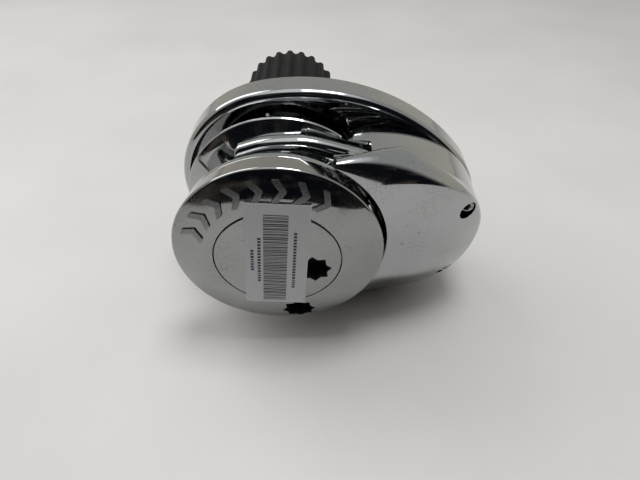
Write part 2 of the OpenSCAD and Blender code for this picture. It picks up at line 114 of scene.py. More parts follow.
ARM_PIVOT = (42, 56)
ARM_Z, ARM_H = 47.0, 11.0
ARM_SPINE = [(-33.5, 44.5, 4.6), (-22, 51.5, 4.6), (-8, 56, 5.2), (8, 58.6, 5.8), (42, 56, 7.5)]
ARM_BUSH_R, ARM_PIN_R = 4.8, 3.5
SLOT_R, SLOT_GAP, SLOT_X, SLOT_Y = 8.3, 0.6, 15, 76
SPRING_WIRE_R, SPRING_R, SPRING_TURNS, SPRING_RISE = 0.9, 5.4, 3.1, 1.53

STRIPPER_POSTS = [(66, -42), (75, -32)]
BLADE_H, POST_R = 6.0, 6.8
ABOVE_ALL = 110

LABEL_Z, LABEL_T = 97.75, 0.14
LABEL_CORNERS = [(-12.8, -44), (26, -36), (9.5, 49.9), (-28.1, 42.3)]


# ---- Colours and places of the room ----

# The darker second chrome colour is painted shade for the dimmer reflections on the ring and nut; that
# chrome is also more worn.
CHROME, WORN_SHADED_CHROME, CHROME_DIRT = (0.46, 0.475, 0.48), (0.345, 0.35, 0.345), (0.18, 0.18, 0.175)
FLOOR_UP = Vector((-0.2535, 0.966, -0.049)).normalized()
TABLE_FRONT, TABLE_REACH = 0.40, 1.6
MIDDLE = Vector((0.03, 0.0, 0.05))
WALL_LOW, WALL_HIGH, CEILING = (0.50, 0.475, 0.42), (0.40, 0.405, 0.40), (0.95, 0.95, 0.95)
CLUTTER_DARK, CLUTTER_LIGHT = (0.006, 0.007, 0.010), (0.075, 0.06, 0.05)


# ---- Outlines ----


def along(angle, r):
    """Point at an angle, in degrees, and a distance from the shaft."""
    return r * math.cos(math.radians(angle)), r * math.sin(math.radians(angle))


def arc(centre, r, first, last, count):
    """Points on an arc, from the first angle to the last, in degrees."""
    steps = [first + (last - first) * i / (count - 1) for i in range(count)]
    return [(centre[0] + along(a, r)[0], centre[1] + along(a, r)[1]) for a in steps]


def smooth_min(a, b, blend):
    """The smaller of two lengths, with a rounded change from one to the other."""
    h = max(blend - abs(a - b), 0) / blend
    return min(a, b) - h * h * blend / 4


def share(value, start, end):
    """0 before start, 1 after end, and a smooth step between."""
    t = min(1, max(0, (value - start) / (end - start)))
    return t * t * (3 - 2 * t)


def ray_hit(angle, centre, r):
    """Distance from the shaft, along an angle, to a circle's far side."""
    b = sum(c * u for c, u in zip(centre, along(angle, 1)))
    return b + math.sqrt(b * b - centre[0] ** 2 - centre[1] ** 2 + r * r)


SIDE_CX = ((SIDE_R - PLATE_R) ** 2 - (SIDE_R - TIP_R) ** 2 + TIP_X**2) / (2 * TIP_X)
SIDE_CY = math.sqrt((SIDE_R - PLATE_R) ** 2 - SIDE_CX**2)


def joint_angle(x, inset):
    """Angle at which the side's arc meets the arc about (x, 0)."""
    d = Vector((x - SIDE_CX, SIDE_CY)).normalized() * (SIDE_R - inset)
    return math.degrees(math.atan2(d.y - SIDE_CY, d.x + SIDE_CX))


def outline_r(angle, inset=0.0):
    """Distance from the shaft to the plate's outline, moved inwards by inset."""
    a = abs((angle + 180) % 360 - 180)
    if a < joint_angle(TIP_X, inset):
        return ray_hit(a, (TIP_X, 0), TIP_R - inset)
    if a < joint_angle(0, inset):
        return ray_hit(a, (SIDE_CX, -SIDE_CY), SIDE_R - inset)
    return PLATE_R - inset


def fillet(corners, step=9):
    """Closed outline through (x, y) or (x, y, radius) corners, each rounded by an arc."""
    points = []
    for i, corner in enumerate(corners):
        p = Vector(corner[:2])
        radius = corner[2] if len(corner) > 2 else 0
        if not radius:
            points.append(tuple(p))
            continue
        a = (Vector(corners[i - 1][:2]) - p).normalized()
        b = (Vector(corners[(i + 1) % len(corners)][:2]) - p).normalized()
        half = a.angle(b) / 2
        centre = p + (a + b).normalized() * radius / math.sin(half)
        start, end = (p + v * radius / math.tan(half) - centre for v in (a, b))
        sweep = start.angle_signed(end)
        count = max(2, math.ceil(abs(math.degrees(sweep)) / step))
        for k in range(count + 1):
            turned = Matrix.Rotation(-sweep * k / count, 2) @ start
            points.append(tuple(centre + turned))
    return points


def star():
    """Eight-pointed outline of two equal squares."""
    tip, valley = STAR_SIDE / math.sqrt(2), STAR_SIDE / 2 / math.cos(math.radians(22.5))
    corners = []
    for k in range(8):
        angle = STAR_TURN + 45 + 45 * k
        corners += [(*along(angle, tip), 0.35), (*along(angle + 22.5, valley), 0.35)]
    return fillet(corners, step=30)


# ---- Mesh making ----


def new_object(name, verts, faces):
    """Object from points in millimetres, with its faces turned outwards."""
    mesh = bpy.data.meshes.new(name)
    mesh.from_pydata([Vector(v) * MM for v in verts], [], faces)
    obj = bpy.data.objects.new(name, mesh)
    bpy.context.scene.collection.objects.link(obj)
    tidy(obj)
    return obj


def tidy(obj):
    """Merges equal points and turns all faces outwards."""
    bm = bmesh.new()
    bm.from_mesh(obj.data)
    bmesh.ops.remove_doubles(bm, verts=bm.verts, dist=1e-7)
    bmesh.ops.dissolve_degenerate(bm, edges=bm.edges, dist=1e-8)
    bmesh.ops.recalc_face_normals(bm, faces=bm.faces)
    bm.to_mesh(obj.data)
    bm.free()


def lathe(name, profile, steps=192, centre=(0, 0)):
    """Solid of revolution about an upright axis, from a closed profile of (radius, height) points."""
    verts, rings = [], []
    for r, z in profile:
        count = 1 if r < 1e-6 else steps
        rings.append([len(verts) + i for i in range(count)])
        for i in range(count):
            a = TURN * i / steps
            verts.append((centre[0] + r * math.cos(a), centre[1] + r * math.sin(a), z))
    faces = []
    for k, low in enumerate(rings):
        high = rings[(k + 1) % len(rings)]
        if len(low) == 1 and len(high) == 1:
            continue
        for i in range(steps):
            j = (i + 1) % steps
            quad = [low[i % len(low)], low[j % len(low)], high[j % len(high)], high[i % len(high)]]
            faces.append(list(dict.fromkeys(quad)))
    return new_object(name, verts, faces)


def loft(name, sections):
    """Skin over equal-length closed sections, capped at both ends."""
    n = len(sections[0])
    verts = [p for s in sections for p in s]
    faces = []
    for k in range(len(sections) - 1):
        low, high = k * n, (k + 1) * n
        for i in range(n):
            j = (i + 1) % n
            faces.append((low + i, low + j, high + j, high + i))
    faces += [tuple(range(n)), tuple(range(len(verts) - n, len(verts)))]
    return new_object(name, verts, faces)


def prism(name, outline, bottom, top, edge=0.0, steps=4, place=(0, 0)):
    """Upright prism of an anticlockwise outline, with both rims rounded by edge."""
    points = [Vector(p) for p in outline]
    normals = []
    for i, p in enumerate(points):
        a = (p - points[i - 1]).normalized()
        b = (points[(i + 1) % len(points)] - p).normalized()
        t = (a + b).normalized()
        reach = 1 / max(0.4, t.dot(b))
        normals.append(Vector((t.y, -t.x)) * reach)
    levels = [(0.0, bottom), (0.0, top)]
    if edge:
        turns = [math.pi / 2 * i / steps for i in range(steps + 1)]
        low = [(edge * (1 - math.cos(t)), bottom + edge * (1 - math.sin(t))) for t in reversed(turns)]
        levels = low + [(d, bottom + top - z) for d, z in reversed(low)]
    sections = [
        [(p.x - q.x * d + place[0], p.y - q.y * d + place[1], z) for p, q in zip(points, normals)]
        for d, z in levels
    ]
    return loft(name, sections)


def bake(obj):
    """Turns an object's modifiers into its mesh."""
    graph = bpy.context.evaluated_depsgraph_get()
    graph.update()
    mesh = bpy.data.meshes.new_from_object(obj.evaluated_get(graph))
    obj.modifiers.clear()
    obj.data = mesh
    return obj


def combine(obj, others, operation="DIFFERENCE"):
    """Cuts the other objects out of obj, joins them to it or keeps what they share, and removes them."""
    for other in others:
        m = obj.modifiers.new("combine", "BOOLEAN")
        m.operation, m.solver, m.object = operation, "EXACT", other
    bake(obj)
    for other in others:
        bpy.data.objects.remove(other)
    tidy(obj)
    return obj


def join(name, objects):
    """One object of several separate solids."""
    bm = bmesh.new()
    for o in objects:
        bm.from_mesh(o.data)
        bpy.data.objects.remove(o)
    mesh = bpy.data.meshes.new(name)
    bm.to_mesh(mesh)
    bm.free()
    obj = bpy.data.objects.new(name, mesh)
    bpy.context.scene.collection.objects.link(obj)
    return obj


def soften(obj, width, angle=42, segments=2):
    """Rounds the edges that are sharper than an angle."""
    m = obj.modifiers.new("edges", "BEVEL")
    m.width, m.segments, m.limit_method = width * MM, segments, "ANGLE"
    m.angle_limit = math.radians(angle)
    m.use_clamp_overlap = True
    bake(obj)
    tidy(obj)
    return obj


def shade(obj, angle=38):
    """Smooth shading that follows the large faces and keeps sharp edges."""
    mesh = obj.data
    mesh.polygons.foreach_set("use_smooth", [True] * len(mesh.polygons))
    mesh.set_sharp_from_angle(angle=math.radians(angle))
    m = obj.modifiers.new("normals", "WEIGHTED_NORMAL")
    m.keep_sharp, m.weight = True, 80
    return obj


# ---- Materials ----


class Finish:
    """A node material whose patterns are laid out in millimetres on the object."""

    def __init__(self, name, colour, metallic, roughness, **values):
        self.material = bpy.data.materials.new(name)
        self.material.use_nodes = True
        self.tree = self.material.node_tree
        self.shader = self.tree.nodes["Principled BSDF"]
        place = self.add("ShaderNodeTexCoord").outputs["Object"]
        scaled = self.add("ShaderNodeVectorMath", operation="SCALE")
        scaled.inputs["Scale"].default_value = 1 / MM
        self.link(place, scaled.inputs[0])
        self.place = scaled.outputs[0]
        self.shader.inputs["Base Color"].default_value = (*colour, 1)
        self.shader.inputs["Metallic"].default_value = metallic
        self.shader.inputs["Roughness"].default_value = roughness
        for socket, value in values.items():
            self.shader.inputs[socket.replace("_", " ")].default_value = value

    def add(self, kind, **settings):
        """New node with its settings."""
        node = self.tree.nodes.new(kind)
        for key, value in settings.items():
            setattr(node, key, value)
        return node

    def link(self, output, socket):
        self.tree.links.new(output, socket)

    def noise(self, size, detail=3.0, stretch=(1, 1, 1), turn=(0, 0, 0), rough=0.5):
        """Noise whose features are about size millimetres, drawn out where stretch is small."""
        mapping = self.add("ShaderNodeMapping")
        mapping.inputs["Rotation"].default_value = [math.radians(t) for t in turn]
        mapping.inputs["Scale"].default_value = [s / size for s in stretch]
        self.link(self.place, mapping.inputs["Vector"])
        node = self.add("ShaderNodeTexNoise")
        node.inputs["Scale"].default_value = 1
        node.inputs["Detail"].default_value = detail
        node.inputs["Roughness"].default_value = rough
        self.link(mapping.outputs[0], node.inputs["Vector"])
        return node.outputs[0]

    def grade(self, value, low, high, to_low=0.0, to_high=1.0):
        """Takes low to to_low and high to to_high, and holds both ends."""
        node = self.add("ShaderNodeMapRange", clamp=True)
        for socket, number in zip(node.inputs[1:5], (low, high, to_low, to_high)):
            socket.default_value = number
        self.link(value, node.inputs[0])
        return node.outputs[0]

    def sums(self, *values):
        """All values added up."""
        total = values[0]
        for value in values[1:]:
            node = self.add("ShaderNodeMath", operation="ADD")
            self.link(total, node.inputs[0])
            self.link(value, node.inputs[1])
            total = node.outputs[0]
        return total

    def times(self, a, b):
        node = self.add("ShaderNodeMath", operation="MULTIPLY")
        self.link(a, node.inputs[0])
        self.link(b, node.inputs[1])
        return node.outputs[0]

    def tint(self, amount, first, second):
        """Base colour that goes from first to second with amount."""
        ramp = self.add("ShaderNodeValToRGB")
        ramp.color_ramp.elements[0].color = (*first, 1)
        ramp.color_ramp.elements[1].color = (*second, 1)
        self.link(amount, ramp.inputs[0])
        self.link(ramp.outputs[0], self.shader.inputs["Base Color"])

    def rough(self, value):
        self.link(value, self.shader.inputs["Roughness"])

    def bump(self, height, depth):
        """Bump of depth millimetres from heights of 0 to 1."""
        node = self.add("ShaderNodeBump")
        node.inputs["Strength"].default_value = 1
        node.inputs["Distance"].default_value = depth * MM
        self.link(height, node.inputs["Height"])
        self.link(node.outputs[0], self.shader.inputs["Normal"])


def scratches(finish, width=0.35, length=60):
    """Fine straight marks in three directions, mostly absent."""
    marks = []
    for turn, cut in ((17, 0.66), (-38, 0.68), (74, 0.67)):
        lines = finish.noise(width, 1.0, (width / length, 1, width / 6), (0, 0, turn))
        marks.append(finish.grade(lines, cut, cut + 0.06))
    return finish.sums(*marks)


def chrome(name, colour=CHROME, wear=1.0):
    """Polished chrome plate with hairline scratches, hazy patches, specks of dirt and slight waves."""
    f = Finish(name, colour, 1.0, 0.06)
    haze = f.grade(f.noise(24, 4.0), 0.42, 0.72)
    grain = f.grade(f.noise(1.1, 3.0), 0.45, 0.8)
    marks = f.times(scratches(f), f.grade(f.noise(38, 2.0), 0.4, 0.65))
    scuffs = f.times(haze, grain)
    dirt = f.times(f.grade(f.noise(2.6, 5.0, rough=0.7), 0.60, 0.72), f.grade(f.noise(17, 2.0), 0.48, 0.62))
    f.tint(f.sums(dirt, f.grade(scuffs, 0.0, 1.0, 0.0, 0.6 * wear)), colour, CHROME_DIRT)
    f.rough(
        f.sums(
            f.grade(haze, 0, 1, 0.045, 0.10 * wear),
            f.grade(scuffs, 0, 1, 0.0, 0.16 * wear),
            f.grade(marks, 0, 1, 0.0, 0.18 * wear),
            f.grade(dirt, 0, 1, 0.0, 0.3),
        )
    )
    waves = f.grade(f.noise(30, 1.0), 0.3, 0.7, 0.0, 1.0)
    relief = (f.grade(waves, 0, 1, 0, 1.0), f.grade(marks, 0, 1, 0, 0.05), f.grade(grain, 0, 1, 0, 0.012))
    f.bump(f.sums(*relief), 0.05)
    return f.material


def turned_metal(name, colour, roughness, groove=0.35):
    """Machined metal with fine turning rings about the shaft's direction and oily stains."""
    f = Finish(name, colour, 1.0, roughness)
    rings = f.noise(groove, 2.0, (0.05, 0.05, 1))
    stains = f.grade(f.noise(7, 4.0), 0.4, 0.7)
    f.tint(stains, colour, tuple(c * 0.6 for c in colour))
    turned = f.grade(rings, 0.3, 0.7, roughness - 0.07, roughness + 0.07)
    f.rough(f.sums(turned, f.grade(stains, 0, 1, 0, 0.12)))
    f.bump(rings, 0.02)
    return f.material


def matt_black(name, colour, roughness, size, depth, dust, shine=0.5):
    """Black rubber, plastic or anodised metal with a fine texture and pale dust."""
    f = Finish(name, colour, 0.0, roughness, Specular_IOR_Level=shine)
    texture = f.noise(size, 4.0)
    cloud = f.times(f.grade(f.noise(9, 4.0), 0.45, 0.75), f.grade(f.noise(0.8, 3.0), 0.4, 0.7))
    f.tint(f.grade(cloud, 0, 1, 0, dust), colour, (0.32, 0.31, 0.29))
    grained = f.grade(texture, 0.3, 0.7, roughness - 0.08, roughness + 0.08)
    f.rough(f.sums(grained, f.grade(cloud, 0, 1, 0, 0.2)))
    f.bump(texture, depth)
    return f.material


def make_materials():
    """One material for each slot of the record."""
    return {
        "polished_chrome": chrome("polished_chrome"),
        "gasket_rubber": matt_black("gasket_rubber", (0.03, 0.03, 0.03), 0.75, 0.6, 0.05, 0.25),
        "black_tube": matt_black("black_tube", (0.006, 0.006, 0.0065), 0.6, 0.5, 0.03, 0.06, 0.2),
        "pipe_plastic": matt_black("pipe_plastic", (0.02, 0.021, 0.023), 0.5, 0.8, 0.03, 0.12),
        "bronze": turned_metal("bronze", (0.60, 0.38, 0.17), 0.3),
        "bearing_steel": turned_metal("bearing_steel", (0.60, 0.61, 0.62), 0.16, 0.2),
        "spring_steel": turned_metal("spring_steel", (0.16, 0.16, 0.17), 0.4),
        "seal_rubber": matt_black("seal_rubber", (0.02, 0.02, 0.02), 0.55, 0.4, 0.02, 0.1),
        "shaft_steel": turned_metal("shaft_steel", (0.60, 0.60, 0.61), 0.24),
        "cone_metal": turned_metal("cone_metal", (0.42, 0.42, 0.43), 0.36),
        "fixing_steel": turned_metal("fixing_steel", (0.52, 0.52, 0.53), 0.26),
        "stripper_steel": turned_metal("stripper_steel", (0.55, 0.55, 0.56), 0.3),
    }


def paper():
    """White label paper with a faint weave of fibres."""
    f = Finish("label_paper", (0.78, 0.78, 0.82), 0.0, 0.6)
    fibres = f.noise(0.7, 5.0)
    f.tint(f.grade(fibres, 0.35, 0.7), (0.76, 0.76, 0.80), (0.82, 0.82, 0.85))
    f.bump(fibres, 0.01)
    return f.material


def socket_painted_shade():
    """Unpolished walls of the lever sockets, near-black as painted shade of the recess, with a mottled
    texture.
    """
    f = Finish("socket_painted_shade", (0.02, 0.02, 0.02), 0.0, 0.6)
    shade_mottle = f.noise(1.5, 4.0)
    f.tint(f.grade(shade_mottle, 0.4, 0.7), (0.012, 0.012, 0.012), (0.05, 0.048, 0.045))
    f.bump(shade_mottle, 0.05)
    return f.material


def cast_face():
    """Satin tops of the raised marks, duller than the chrome round them."""
    f = Finish("cast_face", (0.34, 0.345, 0.35), 1.0, 0.42)
    grain = f.noise(0.7, 4.0)
    f.tint(f.grade(grain, 0.4, 0.75), (0.36, 0.365, 0.37), (0.10, 0.10, 0.10))
    f.rough(f.grade(grain, 0.3, 0.7, 0.34, 0.5))
    f.bump(grain, 0.04)
    return f.material


def paint_socket_shade(obj, spot, floor):
    """Gives a lever socket's walls, and what lies below its floor's height, the near-black socket material:
    painted shade of the recess.
    """
    obj.data.materials.append(socket_shade_material)
    for face in obj.data.polygons:
        centre = face.center / MM
        inside = (centre.xy - Vector(spot)).length < STAR_REACH
        if inside and (abs(face.normal.z) < 0.5 or centre.z < floor):
            face.material_index = 1


def ink():
    """Black print, worn thin in places."""
    f = Finish("label_ink", (0.03, 0.03, 0.03), 0.0, 0.5)
    f.tint(f.grade(f.noise(0.5, 3.0), 0.5, 0.75), (0.02, 0.02, 0.022), (0.12, 0.12, 0.13))
    f.bump(f.noise(0.5, 3.0), 0.004)
    return f.material


materials = make_materials()
# Ring and nut: chrome with heavier wear, and a darker colour that is painted shade for their dimmer
# reflections.
worn_shaded_chrome = chrome("worn_shaded_chrome", WORN_SHADED_CHROME, 1.5)
# Near-black material for the socket walls and the sides of the raised marks: painted shade.
socket_shade_material = socket_painted_shade()
for node in frame["nodes"].values():
    slot_name = node.data.materials[0].name.split(".")[0]
    for material_slot in node.material_slots:
        material_slot.material = materials[slot_name]


def place_piece(obj, body, slot, nodes=(), material=None, angle=38):
    """Finishes a piece: shading, material, the body it rides on and the CAD nodes that it stands for."""
    shade(obj, angle)
    obj.data.materials.clear()
    obj.data.materials.append(material or materials[slot])
    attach(obj, body)
    if nodes:
        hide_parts(*nodes)
    return obj


# ---- Base plate, gasket, tube and pipe ----


def wall_r(angle):
    """Distance from the shaft to the outside of the cover's wall."""
    circle = ray_hit(angle, WALL_CENTRE, WALL_CIRCLE_R)
    return smooth_min(outline_r(angle, COVER_INSET), circle, 1.5)


def horn_r(angle):
    """Distance from the shaft to the roof's edge, which overhangs the wall beside the wheel."""
    circle = ray_hit(angle, WALL_CENTRE, HORN_CIRCLE_R)
    return smooth_min(outline_r(angle, COVER_INSET), circle, 1.5)


def outline_slab(name, levels, steps=360):
    """Solid over the plate's outline, from (inset, height) levels."""
    angles = [360 * i / steps - 180 for i in range(steps)]
    sections = [[(*along(a, outline_r(a, inset)), z) for a in angles] for inset, z in levels]
    return loft(name, sections)


def trough_cutter():
    """The recess between the plate's rim and the cover's wall, with a rounded floor."""
    sections = []
    steps = 66
    for i in range(steps + 1):
        a = TROUGH[0] + (TROUGH[1] - TROUGH[0]) * i / steps
        low, high = wall_r(a) + 0.6, outline_r(a, RIM_W)
        fil = min(3.0, 0.4 * (high - low))
        profile = [(low, ABOVE_PLATE)] + arc((low + fil, DISH_Z + fil), fil, 180, 270, 5)
        profile += arc((high - fil, DISH_Z + fil), fil, 270, 360, 5) + [(high, ABOVE_PLATE)]
        sections.append([(*along(a, r), z) for r, z in profile])
    return loft("trough", sections)


def plate_casting():
    """The chromed oval plate with its dish, trough, bearing seat and holes."""
    rim = [(PLATE_EDGE * (1 - math.cos(t)), PLATE_TOP - PLATE_EDGE * (1 - math.sin(t)))
           for t in [math.pi / 2 * i / 8 for i in range(9)]]
    plate = outline_slab("plate_casting", [(0.6, GASKET_T), (0.0, GASKET_T + 0.6)] + rim)
    spigot = lathe("spigot", [(0, -8), (33.3, -8), (33.8, -7.5), (33.8, 3), (0, 3)])
    combine(plate, [spigot], "UNION")
    dish = fillet([(BOSS_R, ABOVE_PLATE), (DISH_R, ABOVE_PLATE), (DISH_R, DISH_Z, 4), (BOSS_R, DISH_Z, 3)])
    bore = [(0, -10), (BUSH_SEAT_R, -10), (BUSH_SEAT_R, 2), (RACE_SHOULDER_R, 2), (RACE_SHOULDER_R, 6)]
    bore += [(RACE_SEAT_R, 6), (RACE_SEAT_R, ABOVE_PLATE), (0, ABOVE_PLATE)]
    neck, collar = PIPE_BORE_R + PIPE_WALL + 0.02, PIPE_BORE_R + PIPE_WALL + PIPE_COLLAR + 0.05
    step = PLATE_TOP - PIPE_COLLAR_H
    pipe_hole = [(0, -2), (neck, -2), (neck, step), (collar, step), (collar, ABOVE_PLATE), (0, ABOVE_PLATE)]
    cutters = [lathe("dish", dish), trough_cutter(), lathe("bore", bore)]
    cutters.append(lathe("pipe", pipe_hole, 128, (PIPE_X, 0)))
    stud_hole = [(0, -2), (STUD_R, -2), (STUD_R, STUD_DEPTH), (0, STUD_DEPTH + 2)]
    cutters += [lathe("stud", stud_hole, 48, spot) for spot in STUDS]
    screw_hole = [(0, SCREW_FOOT), (SCREW_R, SCREW_FOOT), (SCREW_R, ABOVE_PLATE), (0, ABOVE_PLATE)]
    cutters += [lathe("screw", screw_hole, 32, spot) for spot in COVER_SCREWS + STRIPPER_POSTS]
    pin_hole = [(0, PIN_FOOT), (ARM_PIN_R, PIN_FOOT), (ARM_PIN_R, ABOVE_PLATE), (0, ABOVE_PLATE)]
    cutters.append(lathe("pin", pin_hole, 32, ARM_PIVOT))
    combine(plate, cutters)
    soften(plate, 0.5, 50)
    place_piece(plate, "base", "polished_chrome", ["base_plate"])


def gasket_sheet():
    """The black sheet under the plate, with a slightly swollen edge."""
    edge = [(2.5, 0.0), (2.1, 0.15), (2.0, 0.75), (2.1, 1.35), (2.5, GASKET_T)]
    sheet = outline_slab("gasket_sheet", edge)
    cutters = [
        lathe("tube_hole", [(0, -2), (TUBE_R + 1, -2), (TUBE_R + 1, 4), (0, 4)], 128),
        lathe("pipe_hole", [(0, -2), (PIPE_BORE_R + 4, -2), (PIPE_BORE_R + 4, 4), (0, 4)], 96, (PIPE_X, 0)),
    ]
    for spot in STUDS:
        cutters.append(lathe("stud", [(0, -2), (STUD_R + 0.5, -2), (STUD_R + 0.5, 4), (0, 4)], 48, spot))
    combine(sheet, cutters)
    place_piece(sheet, "base", "gasket_rubber", ["deck_gasket"])


def ribbed_outline():
    """Round-topped ribs with round valleys, as an anticlockwise outline."""
    centre_r = TUBE_R - RIB_R
    outline = []
    for k in range(TUBE_RIBS):
        middle = 360 / TUBE_RIBS * k
        centre = along(middle, centre_r)
        outline += arc(centre, RIB_R, middle - 78, middle + 78, 11)
        valley = along(middle + 180 / TUBE_RIBS, centre_r + 1.35)
        outline += arc(valley, 1.1, middle + 180 / TUBE_RIBS - 108, middle + 180 / TUBE_RIBS - 252, 5)
    return outline


def tube_extrusion():
    """The black ribbed tube between the plate and the gearbox."""
    tube = prism("tube_extrusion", ribbed_outline(), -TUBE_LEN, GASKET_T - 0.02, 0.7, 3)
    combine(tube, [lathe("bore", [(0, -200), (TUBE_BORE_R, -200), (TUBE_BORE_R, 20), (0, 20)])])
    soften(tube, 0.4, 60)
    place_piece(tube, "base", "black_tube", ["spacer_tube"])


def pipe_moulding():
    """The chain pipe, with a rolled mouth and a chamfered spigot."""
    outer, low = PIPE_BORE_R + PIPE_WALL, -PIPE_SPIGOT
    collar, step = outer + PIPE_COLLAR, PLATE_TOP - PIPE_COLLAR_H
    profile = fillet([
        (PIPE_BORE_R, low, 0.8), (outer - 0.5, low, 0.8), (outer - 0.5, 0), (outer, 0),
        (outer, step), (collar, step, 0.5), (collar, PLATE_TOP, 0.9), (PIPE_BORE_R, PLATE_TOP, 2.2),
    ])
    place_piece(lathe("pipe_moulding", profile, 128, (PIPE_X, 0)), "base", "pipe_plastic", ["chain_pipe"])


# ---- Chain pipe cover ----


def lip_z(angle):
    """Height of the roof beside the cap ring."""
    return ROOF_Z - LIP_DROP * share(-angle, 20, 64)


def roof(angle):
    """How far the roof falls from the lip to its edge at an angle, and the straight share of that fall."""
    w = horn_r(angle) - LIP_R
    arm_side = ROOF_Z - w * (ROOF_SLOPE + ROOF_CURVE * w)
    fall = lip_z(angle) - LOW_EDGE_Z - share(angle, -2, 14) * (arm_side - LOW_EDGE_Z)
    straight = ROOF_SLOPE * w / fall
    return fall, straight + (1 - straight) * share(-angle, 6, 24)


def roof_at(angle, r):
    """Height of the roof at an angle and a distance from the shaft."""
    fall, straight = roof(angle)
    t = (r - LIP_R) / (horn_r(angle) - LIP_R)
    return lip_z(angle) - fall * t * (straight + (1 - straight) * t)


def roof_lean(angle, r):
    """Slope of the roof away from the shaft, as an angle in radians."""
    fall, straight = roof(angle)
    w = horn_r(angle) - LIP_R
    return math.atan(fall / w * (straight + 2 * (1 - straight) * (r - LIP_R) / w))


def cover_section(angle):
    """Closed outline of the cover's wall and roof at an angle, as (radius, height) points."""
    horn = horn_r(angle)
    width = horn - LIP_R
    wall = max(wall_r(angle), LIP_R + 0.3 * width)
    wall_in = max(wall - SHELL_T, LIP_R + 0.15 * width)
    edge = min(EDGE_R + (MOUTH_EDGE_R - EDGE_R) * share(angle, 25, 58), 0.8 * width)
    lean = roof_lean(angle, horn - edge)
    r0 = horn - edge + edge * math.sin(lean)
    centre = (horn - edge, roof_at(angle, r0) - edge * math.cos(lean))
    under = horn - wall
    foot = centre[1] - 9.5 if angle > WALL_LAST else PLATE_TOP
    inner = max(0.5, edge - SHELL_T)
    top = lip_z(angle)
    tilt = math.degrees(lean)
    points = [(LIP_R, top - 5), (LIP_R, top - 2.0), (LIP_R + 0.12, top - 1.5), (LIP_R + 0.45, top - 0.95)]
    start = LIP_R + 1.3
    points += [(r, roof_at(angle, r)) for r in [start + (r0 - start) * i / 22 for i in range(22)]]
    points += arc(centre, edge, 90 - tilt, 0, 13)
    for i in range(1, 10):
        t = i / 10
        points.append((horn - under * t * t * (3 - 2 * t), centre[1] - 9 * t))
    points += [(wall, centre[1] - 9), (wall, (centre[1] - 9 + foot) / 2), (wall, foot)]
    points += [(wall_in, foot), (wall_in, centre[1] - 9)]
    points.append((max(centre[0], horn - SHELL_T - 0.4 * under), centre[1] - 2))
    points += [(r, z - 0.4) for r, z in arc(centre, inner, (90 - tilt) / 3, 90 - tilt, 3)]
    inner_start = LIP_R + min(0.6 * SHELL_T, 0.1 * width)
    for i in (2, 1):
        r = inner_start + (centre[0] - inner_start) * i / 3
        points.append((r, roof_at(angle, r) - SHELL_T))
    points.append((inner_start, min(roof_at(angle, inner_start) - SHELL_T, top - 4.6)))
    points.append((inner_start, top - 5))
    return points


def cover_casting():
    """The chromed cover over the chain pipe, with its overhanging lip, screw wells and arm slot."""
    span = 180
    angles = [COVER_FIRST + (WALL_LAST - COVER_FIRST) * i / span for i in range(span + 1)]
    angles += [WALL_LAST + 0.2 + (COVER_LAST - WALL_LAST - 0.2) * i / 16 for i in range(17)]
    sections = [[(*along(a, r), z) for r, z in cover_section(a)] for a in angles]
    cover = loft("cover_casting", sections)
    columns = [
        lathe("column", [(0, PLATE_TOP), (COLUMN_R, PLATE_TOP), (COLUMN_R, seat), (0, seat)], 64, spot)
        for spot, seat in zip(COVER_SCREWS, COVER_SEATS)
    ]
    combine(cover, columns, "UNION")
    cutters = []
    for spot, seat in zip(COVER_SCREWS, COVER_SEATS):
        step = seat - WASHER_T
        well = [(0, 0), (SHANK_WELL_R, 0), (SHANK_WELL_R, step), (HEAD_WELL_R, step)]
        well += [(HEAD_WELL_R, ABOVE_ALL), (0, ABOVE_ALL)]
        cutters.append(lathe("well", well, 64, spot))
    x, y = ARM_PIVOT
    slot = [(SLOT_X, y - SLOT_R)] + arc(ARM_PIVOT, SLOT_R, -90, 0, 9)
    slot += [(x + SLOT_R, y), (x, y + SLOT_R), (x, SLOT_Y), (SLOT_X, SLOT_Y)]
    cutters.append(prism("slot", slot, ARM_Z - SLOT_GAP, ARM_Z + ARM_H + SLOT_GAP))
    combine(cover, cutters)
    soften(cover, 0.45, 48)
    place_piece(cover, "base", "polished_chrome", ["chain_pipe_cover"], angle=40)


# ---- Fixings ----


def cap_screw(spot, bottom, seat):
    """A socket-head screw: shank, head with a rounded rim, and a hexagon socket."""
    top, tip = seat + HEAD_H, 0.4
    head = fillet([
        (0, bottom), (SCREW_R - tip, bottom), (SCREW_R, bottom + tip), (SCREW_R, seat),
        (HEAD_R, seat, 0.3), (HEAD_R, top, 0.9), (0, top),
    ])
    screw = lathe("screw", head, 48, spot)
    hexagon = [along(60 * i, HEXAGON_R) for i in range(6)]
    combine(screw, [prism("socket", hexagon, seat + HEXAGON_FLOOR, top + 3, place=spot)])
    return soften(screw, 0.2, 40)


def screw_set(name, spots, bottom, seats, node_name):
    """Screws of one CAD node, as one piece."""
    screws = join(name, [cap_screw(spot, bottom, seat) for spot, seat in zip(spots, seats)])
    place_piece(screws, "base", "fixing_steel", [node_name])


# ---- Chain wheel, cap ring and nut ----


